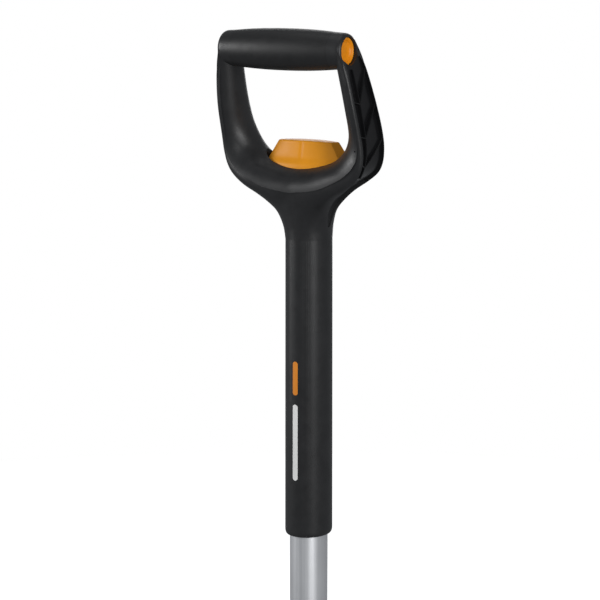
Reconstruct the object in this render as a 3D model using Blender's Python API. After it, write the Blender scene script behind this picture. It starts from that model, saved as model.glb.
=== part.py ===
"""Telescopic garden spade with a D-handle, a release button in the hand opening and a pressed steel blade.

The spade is drawn about the shaft's own axis: Z runs up the shaft from the blade's tip, X across the
blade and -Y to the digging side. One empty, spade_axes, then puts the middle of the hand grip at the origin.
"""
import math

import bpy
import bmesh
import numpy as np
from mathutils import Matrix, Vector

MM = 0.001
GAP = 0.3 * MM                       # running gap between neighbours
WELD = 0.02 * MM                     # points closer than this are one point after a Boolean
FLAT = math.radians(0.3)             # faces turned less than this are one face after a Boolean

# Hand grip
GRIP_HEIGHT = 1031.2 * MM            # axis of the grip above the blade's tip
GRIP_REACH = 35 * MM                 # axis of the grip in front of the shaft's axis
GRIP_RADIUS = 17 * MM                # in the middle of the barrel
GRIP_END_RADIUS = 15 * MM
GRIP_HALF = 46.6 * MM
CORE_RADIUS = 11 * MM
HEAD_END = 58.5 * MM                 # outer end of the two heads that hold the grip
HEAD_RADIUS = 14.7 * MM
PLUG_RADIUS = 10.9 * MM

# D-frame
LEAN = [(860, 0), (872, 0), (888, -1.0), (905, -3.4), (925, -6.2), (952, -9.8), (990, -22.0), (1032, -35.0),
        (1060, -46.0)]               # height and forward lean of the D's middle, in millimetres
RECESS_DEPTH = 4.2 * MM
RIB_WIDTH = 1.3 * MM
RIB_SET_BACK = 1.2 * MM

# Sleeve, shaft and what slides between them
SLEEVE_MOUTH = 618 * MM
SLEEVE_TOP = 886.5 * MM
SLEEVE_X, SLEEVE_Y = 19.0 * MM, 21.5 * MM
MOUTH_X, MOUTH_Y = 19.5 * MM, 22.0 * MM
SHAFT_X, SHAFT_Y = 15.5 * MM, 18.0 * MM
SHAFT_WALL = 1.5 * MM
SHAFT_BOTTOM, SHAFT_TOP = 340 * MM, 885 * MM
SLEEVE_CLEARANCE = 1.5 * MM

# Lock
WEDGE_SLOPE = 0.2
STEM_RADIUS, STEM_BORE = 7 * MM, 5 * MM
STEM_BOTTOM, STEM_TOP = 672.3 * MM, 904.5 * MM
ROD_RADIUS = 2.5 * MM
PIN_HEIGHT, PIN_RADIUS = 896 * MM, 2 * MM
HEAD_BOTTOM, HEAD_TOP = 632 * MM, 700 * MM
SLOT_BOTTOM, SLOT_TOP = 640 * MM, 669 * MM
WEDGE_BOTTOM, WEDGE_TOP = 650 * MM, 666 * MM
WEDGE_HALF_TOP = 5 * MM
WELL_FLOOR, POCKET_FLOOR = 906 * MM, 919.5 * MM
BUTTON_BASE = 929 * MM
BUTTON_CROWN = 955.5 * MM
BUTTON_HALF = 38.4 * MM
BUTTON_Y = -1.0 * MM                 # line between the button's two ends, in front of the shaft's axis
BUTTON_RISE = 12 * MM                # how much higher the underside is at the two ends
WELL_RADIUS = 6.2 * MM
SPRING_RADIUS, SPRING_WIRE, SPRING_TURNS = 4.7 * MM, 0.55 * MM, 4.5

# Blade, socket and treads
BLADE_LENGTH = 290 * MM
BLADE_THICKNESS = 2.2 * MM
BLADE_TOP_HALF = 95 * MM
BLADE_TIP_HALF = 82 * MM
BLADE_DISH = 12 * MM
SOCKET_TOP = 432 * MM
FERRULE_BOTTOM, FERRULE_TOP = 436 * MM, 462 * MM
TREAD_THICKNESS = 4 * MM
RIVETS = {"socket_rivet_upper": 412 * MM, "socket_rivet_lower": 372 * MM}
RIVET_RADIUS = 2.5 * MM
TREAD_TOP = BLADE_LENGTH + GAP + TREAD_THICKNESS

SIDES = 32


# ---------------------------------------------------------------- tools of the trade

def material(name, colour, roughness, metallic=0.0):
    """Return a plain Principled material."""
    mat = bpy.data.materials.new(name)
    mat.use_nodes = True
    shader = mat.node_tree.nodes["Principled BSDF"]
    shader.inputs["Base Color"].default_value = (*colour, 1.0)
    shader.inputs["Roughness"].default_value = roughness
    shader.inputs["Metallic"].default_value = metallic
    mat.diffuse_color = (*colour, 1.0)
    return mat


def resample(controls, count):
    """Read count rows from the smooth curve through the control rows (Catmull-Rom, every column alike)."""
    rows = np.array(controls, dtype=float)
    padded = np.vstack([2 * rows[0] - rows[1], rows, 2 * rows[-1] - rows[-2]])
    out = []
    for u in np.linspace(0, len(rows) - 1, count):
        i = min(int(u), len(rows) - 2)
        t = u - i
        a, b, c, d = padded[i:i + 4]
        out.append(0.5 * (2 * b + (c - a) * t + (2 * a - 5 * b + 4 * c - d) * t ** 2
                          + (3 * b - a - 3 * c + d) * t ** 3))
    return out


def finish(name, bm, mat=None, smooth=True):
    """Turn a bmesh into an object with outward faces, shaded smooth but for its sharp edges."""
    bmesh.ops.triangulate(bm, faces=bm.faces)
    bmesh.ops.recalc_face_normals(bm, faces=bm.faces)
    mesh = bpy.data.meshes.new(name)
    bm.to_mesh(mesh)
    bm.free()
    if mat:
        mesh.materials.append(mat)
    if smooth:
        mesh.shade_smooth()
        mesh.set_sharp_from_angle(angle=math.radians(35))
    obj = bpy.data.objects.new(name, mesh)
    bpy.context.collection.objects.link(obj)
    return obj


def loft(name, loops, mat=None, ring=False):
    """Skin equal loops of points. The two ends are capped, or joined to each other when ring is true."""
    bm = bmesh.new()
    rows = [[bm.verts.new(p) for p in loop] for loop in loops]
    count = len(rows[0])
    pairs = list(zip(rows, rows[1:]))
    if ring:
        pairs.append((rows[-1], rows[0]))
    for low, high in pairs:
        for i in range(count):
            j = (i + 1) % count
            bm.faces.new((low[i], low[j], high[j], high[i]))
    if not ring:
        bm.faces.new(rows[0])
        bm.faces.new(rows[-1])
    return finish(name, bm, mat)


def oval(x, y, z, sides=SIDES, shift=0.0, power=2.0):
    """Points of a level (super)ellipse with half-widths x and y at height z."""
    points = []
    for i in range(sides):
        a = 2 * math.pi * i / sides
        c, s = math.cos(a), math.sin(a)
        points.append((x * math.copysign(abs(c) ** (2 / power), c),
                       shift + y * math.copysign(abs(s) ** (2 / power), s), z))
    return points


def oval_tube(name, x, y, profile, mat, sides=SIDES):
    """Turn a closed profile of (offset, height) about Z, along an oval of half-widths x and y."""
    return loft(name, [oval(x + o, y + o, z, sides) for o, z in profile], mat, ring=True)


def rod_between(name, start, end, radius, mat=None, sides=20, end_radius=None):
    """A round bar from start to end, with a second radius at its end if it tapers."""
    start, end = Vector(start), Vector(end)
    turn = (end - start).to_track_quat("Z", "Y")
    loops = []
    for point, r in ((start, radius), (end, end_radius or radius)):
        loops.append([point + turn @ Vector((r * math.cos(2 * math.pi * i / sides),
                                             r * math.sin(2 * math.pi * i / sides), 0))
                      for i in range(sides)])
    return loft(name, loops, mat)


def turned_x(name, profile, mat=None, sides=SIDES, ring=False):
    """Turn a profile of (x, radius) about the grip's axis."""
    loops = [[(x, -GRIP_REACH + r * math.cos(2 * math.pi * i / sides),
               GRIP_HEIGHT + r * math.sin(2 * math.pi * i / sides)) for i in range(sides)]
             for x, r in profile]
    return loft(name, loops, mat, ring)


def block(name, low, high, mat=None):
    """An axis-parallel box between two corners."""
    bm = bmesh.new()
    bmesh.ops.create_cube(bm, size=1.0)
    size = Vector(high) - Vector(low)
    bmesh.ops.scale(bm, vec=size, verts=bm.verts)
    bmesh.ops.translate(bm, vec=(Vector(high) + Vector(low)) / 2, verts=bm.verts)
    return finish(name, bm, mat, smooth=False)


def combine(target, tools, operation):
    """Join the tools to the target, or cut them from it, one at a time, and take the tools away."""
    for tool in tools:
        boolean = target.modifiers.new("combine", "BOOLEAN")
        boolean.operation = operation
        boolean.object = tool
        bpy.context.view_layer.update()
        graph = bpy.context.evaluated_depsgraph_get()
        mesh = bpy.data.meshes.new_from_object(target.evaluated_get(graph))
        target.modifiers.clear()
        target.data = mesh
        bpy.data.objects.remove(tool)
        bm = bmesh.new()
        bm.from_mesh(mesh)
        bmesh.ops.remove_doubles(bm, verts=bm.verts, dist=WELD)
        bmesh.ops.dissolve_degenerate(bm, dist=WELD, edges=bm.edges)
        bmesh.ops.dissolve_limit(bm, angle_limit=FLAT, verts=bm.verts, edges=bm.edges)
        bmesh.ops.triangulate(bm, faces=bm.faces)
        bm.to_mesh(mesh)
        bm.free()
    target.data.shade_smooth()
    target.data.set_sharp_from_angle(angle=math.radians(35))
    return target


# ---------------------------------------------------------------- the D-frame

def lean(z):
    """Where the middle of the D is in Y at height z: a smooth curve through LEAN."""
    heights, shifts = np.array(LEAN).T * MM
    slopes = np.gradient(shifts, heights)
    i = int(np.clip(np.searchsorted(heights, z) - 1, 0, len(LEAN) - 2))
    step = heights[i + 1] - heights[i]
    t = min(max((z - heights[i]) / step, 0.0), 1.0)
    return float(shifts[i] * (1 + 2 * t) * (1 - t) ** 2 + shifts[i + 1] * t ** 2 * (3 - 2 * t)
                 + step * (slopes[i] * t * (1 - t) ** 2 - slopes[i + 1] * t ** 2 * (1 - t)))


def tilt(z):
    """Angle by which a cross-section at height z is tipped, its back raised."""
    return math.atan((lean(z - 4 * MM) - lean(z + 4 * MM)) / (8 * MM))


def section(outer, inner, outline):
    """Place outline points (inward distance, depth) on the cross-section that runs from outer to inner."""
    outer, inner = np.array(outer), np.array(inner)
    inward = (inner - outer) / np.linalg.norm(inner - outer)
    middle = (outer + inner) / 2
    angle, shift = tilt(middle[1]), lean(middle[1])
    points = []
    for p, q in outline:
        x, z = outer + inward * p
        points.append((x, shift + (middle[1] - z) * math.tan(angle) + q * math.cos(angle),
                       z + q * math.sin(angle)))
    return points


# Inner band of the D, half of it, in millimetres: crease x, z; inner surface x, z; half-depth; squareness.
BAND = [(57.0, 1035, 52.0, 1035, 14.2, 2.1), (61.0, 1018, 52.5, 1018, 15.9, 2.1),
        (63.4, 988, 53.4, 988, 18.0, 2.1), (64.4, 966, 52.4, 968, 19.5, 2.15),
        (63.6, 953, 47.6, 954, 20.8, 2.3), (61.2, 944, 40.0, 945, 22.2, 2.5),
        (56.0, 936.5, 31.0, 939.8, 24.0, 2.8), (46.5, 929.5, 21.0, 937.6, 26.0, 3.1),
        (26.0, 921, 10.5, 936.4, 27.7, 3.3), (0.0, 917.5, 0.0, 936.0, 28.3, 3.4)]
BAND_TAPER = 0.17                    # the inner band is this much narrower at its inner surface

# Side of the D, half of it, in millimetres: outer face x, z; far side x, z; half-depth; squareness.
SIDE = [(58.0, 1037, 51, 1037, 12.0, 5), (64.0, 1018, 53, 1018, 15.8, 6), (67.0, 988, 56, 988, 17.8, 7),
        (68.2, 957, 56, 960, 19.4, 7), (67.4, 943, 52, 951, 20.2, 6), (64.6, 933.5, 43, 945, 21.4, 5),
        (59.5, 926.0, 34, 940, 23.0, 4.2), (50.0, 918.5, 20, 934, 25.0, 3.5),
        (39.0, 911.5, 7, 927, 25.6, 3.0), (30.0, 903.5, -0.6, 914, 24.6, 2.7),
        (23.6, 895.0, -0.6, 901, 23.0, 2.4), (20.0, 884, -0.6, 886, 21.9, 2.2),
        (19.0, 872, -0.6, 872, 21.5, 2.0)]

# Recess in the outer face: half-width and depth at the same stations as SIDE, from its second to its twelfth.
RECESS = [(14.0, 3.0), (15.8, 4.2), (17.2, 4.2), (18.0, 4.2), (18.6, 4.2), (19.2, 4.4), (19.0, 5.0),
          (16.0, 5.2), (11.0, 4.8), (6.0, 3.6), (1.6, 1.6)]


# Ribs on the recess's floor, by depth and height in millimetres: the spine's bends, then each chevron's node,
# its front end and its back end.
SPINE = [(-4.5, 1012), (-5.6, 990.7), (-8.0, 963.8), (-11.7, 938.5), (-13.4, 930)]
CHEVRONS = [((-5.6, 990.7), (-16.0, 996.3), (14.2, 1013.5)), ((-8.0, 963.8), (-17.2, 968.6), (16.3, 983.3)),
            ((-11.7, 938.5), (-18.4, 943.0), (17.6, 955.7))]


def band_loops(steps=20, around=14):
    """Cross-sections of the inner band, from one end of the D round to the other."""
    half = []
    scale = np.array([MM, MM, MM, MM, MM, 1.0])
    for ax, az, ix, iz, b, square in resample(np.array(BAND) * scale, steps):
        thickness = math.hypot(ix - ax, iz - az)
        outline = []
        for k in range(around + 1):
            a = math.pi * k / around - math.pi / 2
            inward = abs(math.cos(a)) ** (2 / square)
            across = math.copysign(abs(math.sin(a)) ** (2 / square), a)
            outline.append((thickness * inward, b * (1 - BAND_TAPER * inward) * across))
        half.append(section((ax, az), (ix, iz), outline))
    mirrored = [[(-x, y, z) for x, y, z in loop] for loop in reversed(half[:-1])]
    return half + mirrored


def side_rows(steps=27):
    """Smooth stations of the side: outer point, far point, half-depth, squareness."""
    scale = np.array([MM, MM, MM, MM, MM, 1.0])
    return resample(np.array(SIDE) * scale, steps)


def side_loops(steps=27, around=12):
    """Cross-sections of the side of the D and of its run into the neck."""
    loops = []
    for ox, oz, jx, jz, b, square in side_rows(steps):
        width = math.hypot(jx - ox, jz - oz)
        outline = []
        for k in range(around + 1):
            a = math.pi * k / around - math.pi / 2
            outline.append((width * (1 - abs(math.cos(a)) ** (2 / square)),
                            b * math.copysign(abs(math.sin(a)) ** (2 / square), a)))
        loops.append(section((ox, oz), (jx, jz), outline))
    return loops


def recess_loops(steps=22):
    """Cross-sections of the cutter that sinks the outer face between its two rims."""
    stations = [row[:4] for row in SIDE[1:12]]
    rows = [(*side, *cut) for side, cut in zip(stations, RECESS)]
    loops = []
    for ox, oz, jx, jz, half, depth in resample(np.array(rows) * MM, steps):
        outline = [(-6 * MM, -half), (depth, -half * 0.94), (depth, half * 0.94), (-6 * MM, half)]
        loops.append(section((ox, oz), (jx, jz), outline))
    return loops


def rib(name, start, end):
    """A thin upright rib on the floor of the recess, between two (depth, height) points of the right side."""
    rows = side_rows(60)
    heights = [row[1] for row in rows][::-1]
    outers = [row[0] for row in rows][::-1]
    loops = []
    direction = Vector((0, end[0] - start[0], end[1] - start[1])).normalized()
    across = Vector((0, -direction.z, direction.y)) * RIB_WIDTH / 2
    for q, z in (start, end):
        x = float(np.interp(z, heights, outers))
        middle = Vector((x, lean(z) + q * math.cos(tilt(z)), z + q * math.sin(tilt(z))))
        low, high = x - RECESS_DEPTH - 1 * MM, x - RIB_SET_BACK
        loops.append([Vector((low, *(middle - across).yz)), Vector((high, *(middle - across).yz)),
                      Vector((high, *(middle + across).yz)), Vector((low, *(middle + across).yz))])
    return loft(name, loops)


def right_ribs():
    """The spine and the three chevrons of the right outer face."""
    spine = [(q * MM, z * MM) for q, z in SPINE]
    ribs = [rib("spine", a, b) for a, b in zip(spine, spine[1:])]
    for node, front, back in CHEVRONS:
        for end in (front, back):
            ribs.append(rib("branch", (node[0] * MM, node[1] * MM), (end[0] * MM, end[1] * MM)))
    return ribs


def mirrored_copy(obj, name):
    """The same solid on the other side of the X = 0 plane."""
    bm = bmesh.new()
    bm.from_mesh(obj.data)
    bmesh.ops.scale(bm, vec=(-1, 1, 1), verts=bm.verts)
    return finish(name, bm)


def button_rise(x):
    """How much higher the button's underside is at x than in the middle."""
    return BUTTON_RISE * (abs(x) / BUTTON_HALF) ** 2.2


def button_depths(x):
    """Front and back depth of the button at x: a lens that bulges more to the front."""
    bulge = math.sqrt(max(1 - (x / BUTTON_HALF) ** 2, 0))
    return (2.2 + 14.8 * bulge) * MM, (2.2 + 8.3 * bulge) * MM


def pocket_cutter():
    """The curved pocket that the button sinks into, a gap wider than the button all round."""
    end, gap = BUTTON_HALF + 0.8 * MM, 0.6 * MM
    loops = []
    for x in np.linspace(-end, end, 17):
        front, back = button_depths(x / 1.02)
        low = POCKET_FLOOR + button_rise(x)
        loops.append([(x, BUTTON_Y - front - gap, low), (x, BUTTON_Y + back + gap, low),
                      (x, BUTTON_Y + back + gap, 985 * MM), (x, BUTTON_Y - front - gap, 985 * MM)])
    return loft("pocket", loops)


def handle_frame(mat):
    """D-frame, neck and sleeve, moulded in one."""
    frame = loft("handle_frame", band_loops(), mat)
    right = loft("right_side", side_loops())
    left = mirrored_copy(right, "left_side")
    core = turned_x("core", [(-52 * MM, CORE_RADIUS), (52 * MM, CORE_RADIUS)])
    heads = []
    for side in (1, -1):
        profile = [(GRIP_HALF + GAP, GRIP_END_RADIUS), (HEAD_END - 8 * MM, HEAD_RADIUS),
                   (HEAD_END - 4 * MM, HEAD_RADIUS - 1.1 * MM), (HEAD_END - 1.4 * MM, HEAD_RADIUS - 2.4 * MM),
                   (HEAD_END, HEAD_RADIUS - 3.4 * MM)]
        heads.append(turned_x("head", [(side * x, r) for x, r in profile]))
    sleeve = loft("sleeve", [
        oval(MOUTH_X - 1.6 * MM, MOUTH_Y - 1.6 * MM, SLEEVE_MOUTH),
        oval(MOUTH_X - 0.5 * MM, MOUTH_Y - 0.5 * MM, SLEEVE_MOUTH + 0.5 * MM),
        oval(MOUTH_X, MOUTH_Y, SLEEVE_MOUTH + 2.2 * MM),
        oval(SLEEVE_X, SLEEVE_Y, 873 * MM), oval(SLEEVE_X - 1.5 * MM, SLEEVE_Y - 1.5 * MM, 884 * MM)])
    combine(frame, [right, left, core, *heads, sleeve], "UNION")
    recess = loft("recess", recess_loops())
    combine(frame, [recess, mirrored_copy(recess, "left_recess")], "DIFFERENCE")
    ribs = right_ribs()
    combine(frame, ribs + [mirrored_copy(rib_bar, "left_rib") for rib_bar in ribs], "UNION")
    clearance = SLEEVE_CLEARANCE
    cavity = loft("cavity", [oval(SHAFT_X + clearance, SHAFT_Y + clearance, 600 * MM),
                             oval(SHAFT_X + clearance, SHAFT_Y + clearance, SLEEVE_TOP)])
    mouth = loft("mouth", [oval(SHAFT_X + 2.3 * MM, SHAFT_Y + 2.3 * MM, 600 * MM),
                           oval(SHAFT_X + 2.3 * MM, SHAFT_Y + 2.3 * MM, SLEEVE_MOUTH + 27 * MM)])
    stem_bore = rod_between("stem_bore", (0, 0, 880 * MM), (0, 0, STEM_TOP + GAP), STEM_RADIUS + GAP)
    rod_bore = rod_between("rod_bore", (0, 0, 900 * MM), (0, 0, 912 * MM), 3.2 * MM)
    well = rod_between("well", (0, 0, WELL_FLOOR), (0, 0, 925 * MM), WELL_RADIUS)
    cuts = [cavity, mouth, stem_bore, rod_bore, well, pocket_cutter()]
    for side in (1, -1):
        cuts.append(rod_between("pin_hole", (0, 0, PIN_HEIGHT), (side * 13.8 * MM, 0, PIN_HEIGHT),
                                PIN_RADIUS + GAP, sides=12))
        cuts.append(turned_x("plug_socket", [(side * (HEAD_END - 11.5 * MM), PLUG_RADIUS - 1.5 * MM),
                                             (side * (HEAD_END - 4.2 * MM), PLUG_RADIUS - 1.5 * MM)]))
        cuts.append(turned_x("plug_rebate", [(side * (HEAD_END - 4.5 * MM), PLUG_RADIUS + GAP),
                                             (side * (HEAD_END + 5 * MM), PLUG_RADIUS + GAP)]))
    return combine(frame, cuts, "DIFFERENCE")


def crossbar_grip(mat):
    """Soft barrel-shaped sleeve over the D's crossbar."""
    bore = CORE_RADIUS + GAP
    stations = np.linspace(-1, 1, 13)
    slimming = GRIP_RADIUS - GRIP_END_RADIUS
    outside = [(GRIP_HALF * t, GRIP_RADIUS - slimming * abs(t) ** 2.2) for t in stations]
    return turned_x("crossbar_grip", outside + [(GRIP_HALF, bore), (-GRIP_HALF, bore)], mat, ring=True)


def end_plug(name, side, mat):
    """Dished round plug that closes one end of the crossbar."""
    face = HEAD_END - 1.2 * MM
    profile = [(HEAD_END - 11 * MM, PLUG_RADIUS - 1.8 * MM), (HEAD_END - 4.1 * MM, PLUG_RADIUS - 1.8 * MM),
               (HEAD_END - 4.1 * MM, PLUG_RADIUS), (face - 0.6 * MM, PLUG_RADIUS),
               (face, PLUG_RADIUS - 0.6 * MM), (face, PLUG_RADIUS - 1.3 * MM),
               (face - 1.2 * MM, PLUG_RADIUS - 3.4 * MM),
               (face - 1.9 * MM, PLUG_RADIUS - 6 * MM), (face - 2.1 * MM, PLUG_RADIUS - 9 * MM)]
    return turned_x(name, [(side * x, r) for x, r in profile], mat)


# ---------------------------------------------------------------- the lock

def release_button(mat):
    """Lens-shaped button across the bottom of the hand opening, domed, with two slanted ends."""
    loops = []
    for x in np.linspace(-BUTTON_HALF, BUTTON_HALF, 25):
        front, back = button_depths(x)
        low = BUTTON_BASE + button_rise(x)
        arch = BUTTON_CROWN - 3 * MM * (x / BUTTON_HALF) ** 2
        slant = BUTTON_BASE + button_rise(BUTTON_HALF) + (BUTTON_HALF - abs(x)) * 1.55
        top = max(min(arch, slant), low + 0.9 * MM)
        edge = min(1.6 * MM, (top - low) * 0.4)
        loops.append([(x, BUTTON_Y - front, low), (x, BUTTON_Y + back, low),
                      (x, BUTTON_Y + 0.8 * back, top - edge), (x, BUTTON_Y + 0.6 * back, top),
                      (x, BUTTON_Y - 0.5 * front, top),
                      (x, BUTTON_Y - 0.68 * front, top - edge)])
    return loft("release_button", loops, mat)


def stem_tube(mat):
    """Tube that carries the lock down inside the shaft, drilled for its two pins."""
    profile = [(STEM_RADIUS, STEM_BOTTOM), (STEM_RADIUS, STEM_TOP), (STEM_BORE, STEM_TOP),
               (STEM_BORE, STEM_BOTTOM)]
    stem = loft("stem_tube", [oval(r, r, z, 24) for r, z in profile], mat, ring=True)
    holes = [rod_between("pin_hole", (0, 0, PIN_HEIGHT), (side * 9 * MM, 0, PIN_HEIGHT), PIN_RADIUS + GAP,
                         sides=12) for side in (1, -1)]
    return combine(stem, holes, "DIFFERENCE")


def stem_pin(name, side, mat):
    """Cross pin that fixes the stem in the neck, one on each side of the push rod."""
    return rod_between(name, (side * 4.6 * MM, 0, PIN_HEIGHT), (side * 13.4 * MM, 0, PIN_HEIGHT), PIN_RADIUS,
                       mat, sides=12)


def button_spring(mat):
    """Compression spring that lifts the button."""
    wire, radius, turns = SPRING_WIRE, SPRING_RADIUS, SPRING_TURNS
    low, high = WELL_FLOOR + GAP + wire, BUTTON_BASE - GAP - wire
    steps = int(turns * 14)
    loops = []
    for i in range(steps + 1):
        a = 2 * math.pi * turns * i / steps
        centre = Vector((radius * math.cos(a), radius * math.sin(a), low + (high - low) * i / steps))
        out = Vector((math.cos(a), math.sin(a), 0))
        loops.append([centre + out * wire * math.cos(b) + Vector((0, 0, wire * math.sin(b)))
                      for b in (2 * math.pi * k / 6 for k in range(6))])
    return loft("button_spring", loops, mat)


def lock_head(mat):
    """Housing at the foot of the stem, slotted for the wedge and the two brake shoes."""
    x, y = SHAFT_X - SHAFT_WALL - 0.8 * MM, SHAFT_Y - SHAFT_WALL - 0.8 * MM
    edge = 1.5 * MM
    head = loft("lock_head", [oval(x - edge, y - edge, HEAD_BOTTOM), oval(x, y, HEAD_BOTTOM + edge),
                              oval(x, y, HEAD_TOP - edge), oval(x - edge, y - edge, HEAD_TOP)], mat)
    stem = rod_between("stem", (0, 0, STEM_BOTTOM - GAP), (0, 0, 710 * MM), STEM_RADIUS + GAP)
    rod = rod_between("rod", (0, 0, SLOT_TOP - 1 * MM), (0, 0, STEM_BOTTOM + 1 * MM), 3.2 * MM)
    slot = block("slot", (-7.5 * MM, -20 * MM, SLOT_BOTTOM), (7.5 * MM, 20 * MM, SLOT_TOP))
    return combine(head, [stem, rod, slot], "DIFFERENCE")


def brake_wedge(mat):
    """Wedge on the push rod: pulled up by the spring it spreads the shoes."""
    low, high = WEDGE_HALF_TOP + (WEDGE_TOP - WEDGE_BOTTOM) * WEDGE_SLOPE, WEDGE_HALF_TOP
    half = 6 * MM
    return loft("brake_wedge", [[(-half, -y, z), (half, -y, z), (half, y, z), (-half, y, z)]
                                for y, z in ((low, WEDGE_BOTTOM), (high, WEDGE_TOP))], mat)


def brake_shoe(name, side, mat):
    """Brake shoe with a sloped back against the wedge and a rounded face against the shaft's wall."""
    low, high = 651 * MM, 665.5 * MM
    back = [WEDGE_HALF_TOP + (WEDGE_TOP - z) * WEDGE_SLOPE + 0.35 * MM for z in (low, high)]
    inner_x, inner_y = SHAFT_X - SHAFT_WALL - 0.4 * MM, SHAFT_Y - SHAFT_WALL - 0.4 * MM
    loops = []
    for z, y in zip((low, high), back):
        face = [(x, side * inner_y * math.sqrt(1 - (x / inner_x) ** 2), z)
                for x in np.linspace(-6.9 * MM, 6.9 * MM, 9)]
        loops.append([(-6.9 * MM, side * y, z), *face, (6.9 * MM, side * y, z)])
    return loft(name, loops, mat)


# ---------------------------------------------------------------- shaft and blade

def tube_profile(outer, inner, low, high):
    """Closed profile of a plain tube, as (offset, height) points."""
    return [(outer, low), (outer, high), (inner, high), (inner, low)]


def blade_middle(x, z):
    """Y of the blade's middle surface: dished across, swept forward to its tip, with two pressed ribs."""
    across = x / BLADE_TOP_HALF
    sweep = 10 * MM * (1 - z / BLADE_LENGTH) ** 1.6
    spread = 26 * MM - 12 * MM * (1 - z / BLADE_LENGTH)
    rib_height = 3.2 * MM * min(max((z - 70 * MM) / (60 * MM), 0), 1)
    ribs = sum(math.exp(-((x - s * spread) / (7 * MM)) ** 2) for s in (-1, 1))
    return 8 * MM - sweep - BLADE_DISH * across ** 2 + rib_height * ribs


def blade_half(z):
    """Half the blade's width at height z, with the two rounded corners of the cutting edge."""
    straight = BLADE_TIP_HALF + (BLADE_TOP_HALF - BLADE_TIP_HALF) * (z / BLADE_LENGTH)
    corner = 34 * MM
    return straight - corner * (1 - math.sqrt(1 - (1 - min(z / corner, 1)) ** 2)) * 0.9


def blade_point(u, v, offset=0.0):
    """Point on the blade at u across (-1 to 1) and v up (0 to 1), moved back by offset."""
    z = BLADE_LENGTH * v
    x = u * blade_half(z)
    tip = 9 * MM * (1 - v) ** 6 * (u ** 2)
    return (x, blade_middle(x, z) + offset, z + tip)


def blade_sheet(name, thickness, mat=None, extra=0.0):
    """The blade as a plate of even thickness, longer at its top by extra."""
    across, up = 24, 14
    bm = bmesh.new()
    grids = []
    for side in (-1, 1):
        grid = []
        for j in range(up + 1):
            v = (j / up) ** 1.35
            row = []
            for i in range(across + 1):
                x, y, z = blade_point(2 * i / across - 1, v, side * thickness / 2)
                row.append(bm.verts.new((x, y, z + (extra if j == up else 0))))
            grid.append(row)
        grids.append(grid)
    front, back = grids
    for grid in grids:
        for j in range(up):
            for i in range(across):
                bm.faces.new((grid[j][i], grid[j][i + 1], grid[j + 1][i + 1], grid[j + 1][i]))
    for i in range(across):
        for j in (0, up):
            bm.faces.new((front[j][i], front[j][i + 1], back[j][i + 1], back[j][i]))
    for j in range(up):
        for i in (0, across):
            bm.faces.new((front[j][i], front[j + 1][i], back[j + 1][i], back[j][i]))
    return finish(name, bm, mat)


def socket(mat):
    """Tapered steel socket: round at the top for the shaft, a flattened tongue down the blade's back."""
    stations = [(SOCKET_TOP, 17.6, 20.1, 0, 2.0), (345 * MM, 17.6, 20.1, 0, 2.0),
                (322 * MM, 17.3, 18.0, 1.5, 2.0), (296 * MM, 16.5, 13.5, 5.0, 2.1),
                (262 * MM, 15.0, 9.0, 9.0, 2.3), (225 * MM, 13.0, 6.5, 9.5, 2.4),
                (196 * MM, 10.0, 5.0, 8.8, 2.4), (184 * MM, 6.0, 4.2, 8.4, 2.2)]
    loops = [oval(x * MM, y * MM, z, shift=shift * MM, power=power) for z, x, y, shift, power in stations]
    body = loft("socket", loops, mat)
    bore = loft("bore", [oval(SHAFT_X + GAP, SHAFT_Y + GAP, SHAFT_BOTTOM - GAP),
                         oval(SHAFT_X + GAP, SHAFT_Y + GAP, 450 * MM)])
    slot = blade_sheet("slot", BLADE_THICKNESS + 2 * GAP, extra=6 * MM)
    front = block("front", (-40 * MM, -40 * MM, 100 * MM), (40 * MM, blade_middle(0, 250 * MM), 293 * MM))
    return combine(body, [bore, slot, front], "DIFFERENCE")


def rivet_holes():
    """Drills for the two rivets through the socket and the shaft."""
    return [rod_between("hole", (-25 * MM, 0, z), (25 * MM, 0, z), RIVET_RADIUS + GAP, sides=16)
            for z in RIVETS.values()]


def rivet(name, z, mat):
    """Rivet through the socket and the shaft, with a domed head at each end."""
    shank, head = 17.9 * MM, 20 * MM
    loops = []
    for x, r in ((-head, 3 * MM), (-shank, 5 * MM), (-shank, RIVET_RADIUS), (shank, RIVET_RADIUS),
                 (shank, 5 * MM), (head, 3 * MM)):
        loops.append([(x, r * math.cos(2 * math.pi * i / 16), z + r * math.sin(2 * math.pi * i / 16))
                      for i in range(16)])
    return loft(name, loops, mat)


def tread(name, side, mat):
    """Foot tread: a flat plate along one shoulder of the blade."""
    loops = []
    for x in np.linspace(24 * MM, BLADE_TOP_HALF - 3 * MM, 9):
        middle = blade_middle(x, BLADE_LENGTH)
        end = min((x - 24 * MM) / (6 * MM), (BLADE_TOP_HALF - 3 * MM - x) / (8 * MM), 1)
        half = (7.5 + 4.5 * math.sqrt(max(end, 0))) * MM
        low = BLADE_LENGTH + GAP
        loops.append([(side * x, middle - half, low), (side * x, middle + half, low),
                      (side * x, middle + half, TREAD_TOP), (side * x, middle - half, TREAD_TOP)])
    return loft(name, loops, mat)


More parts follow.
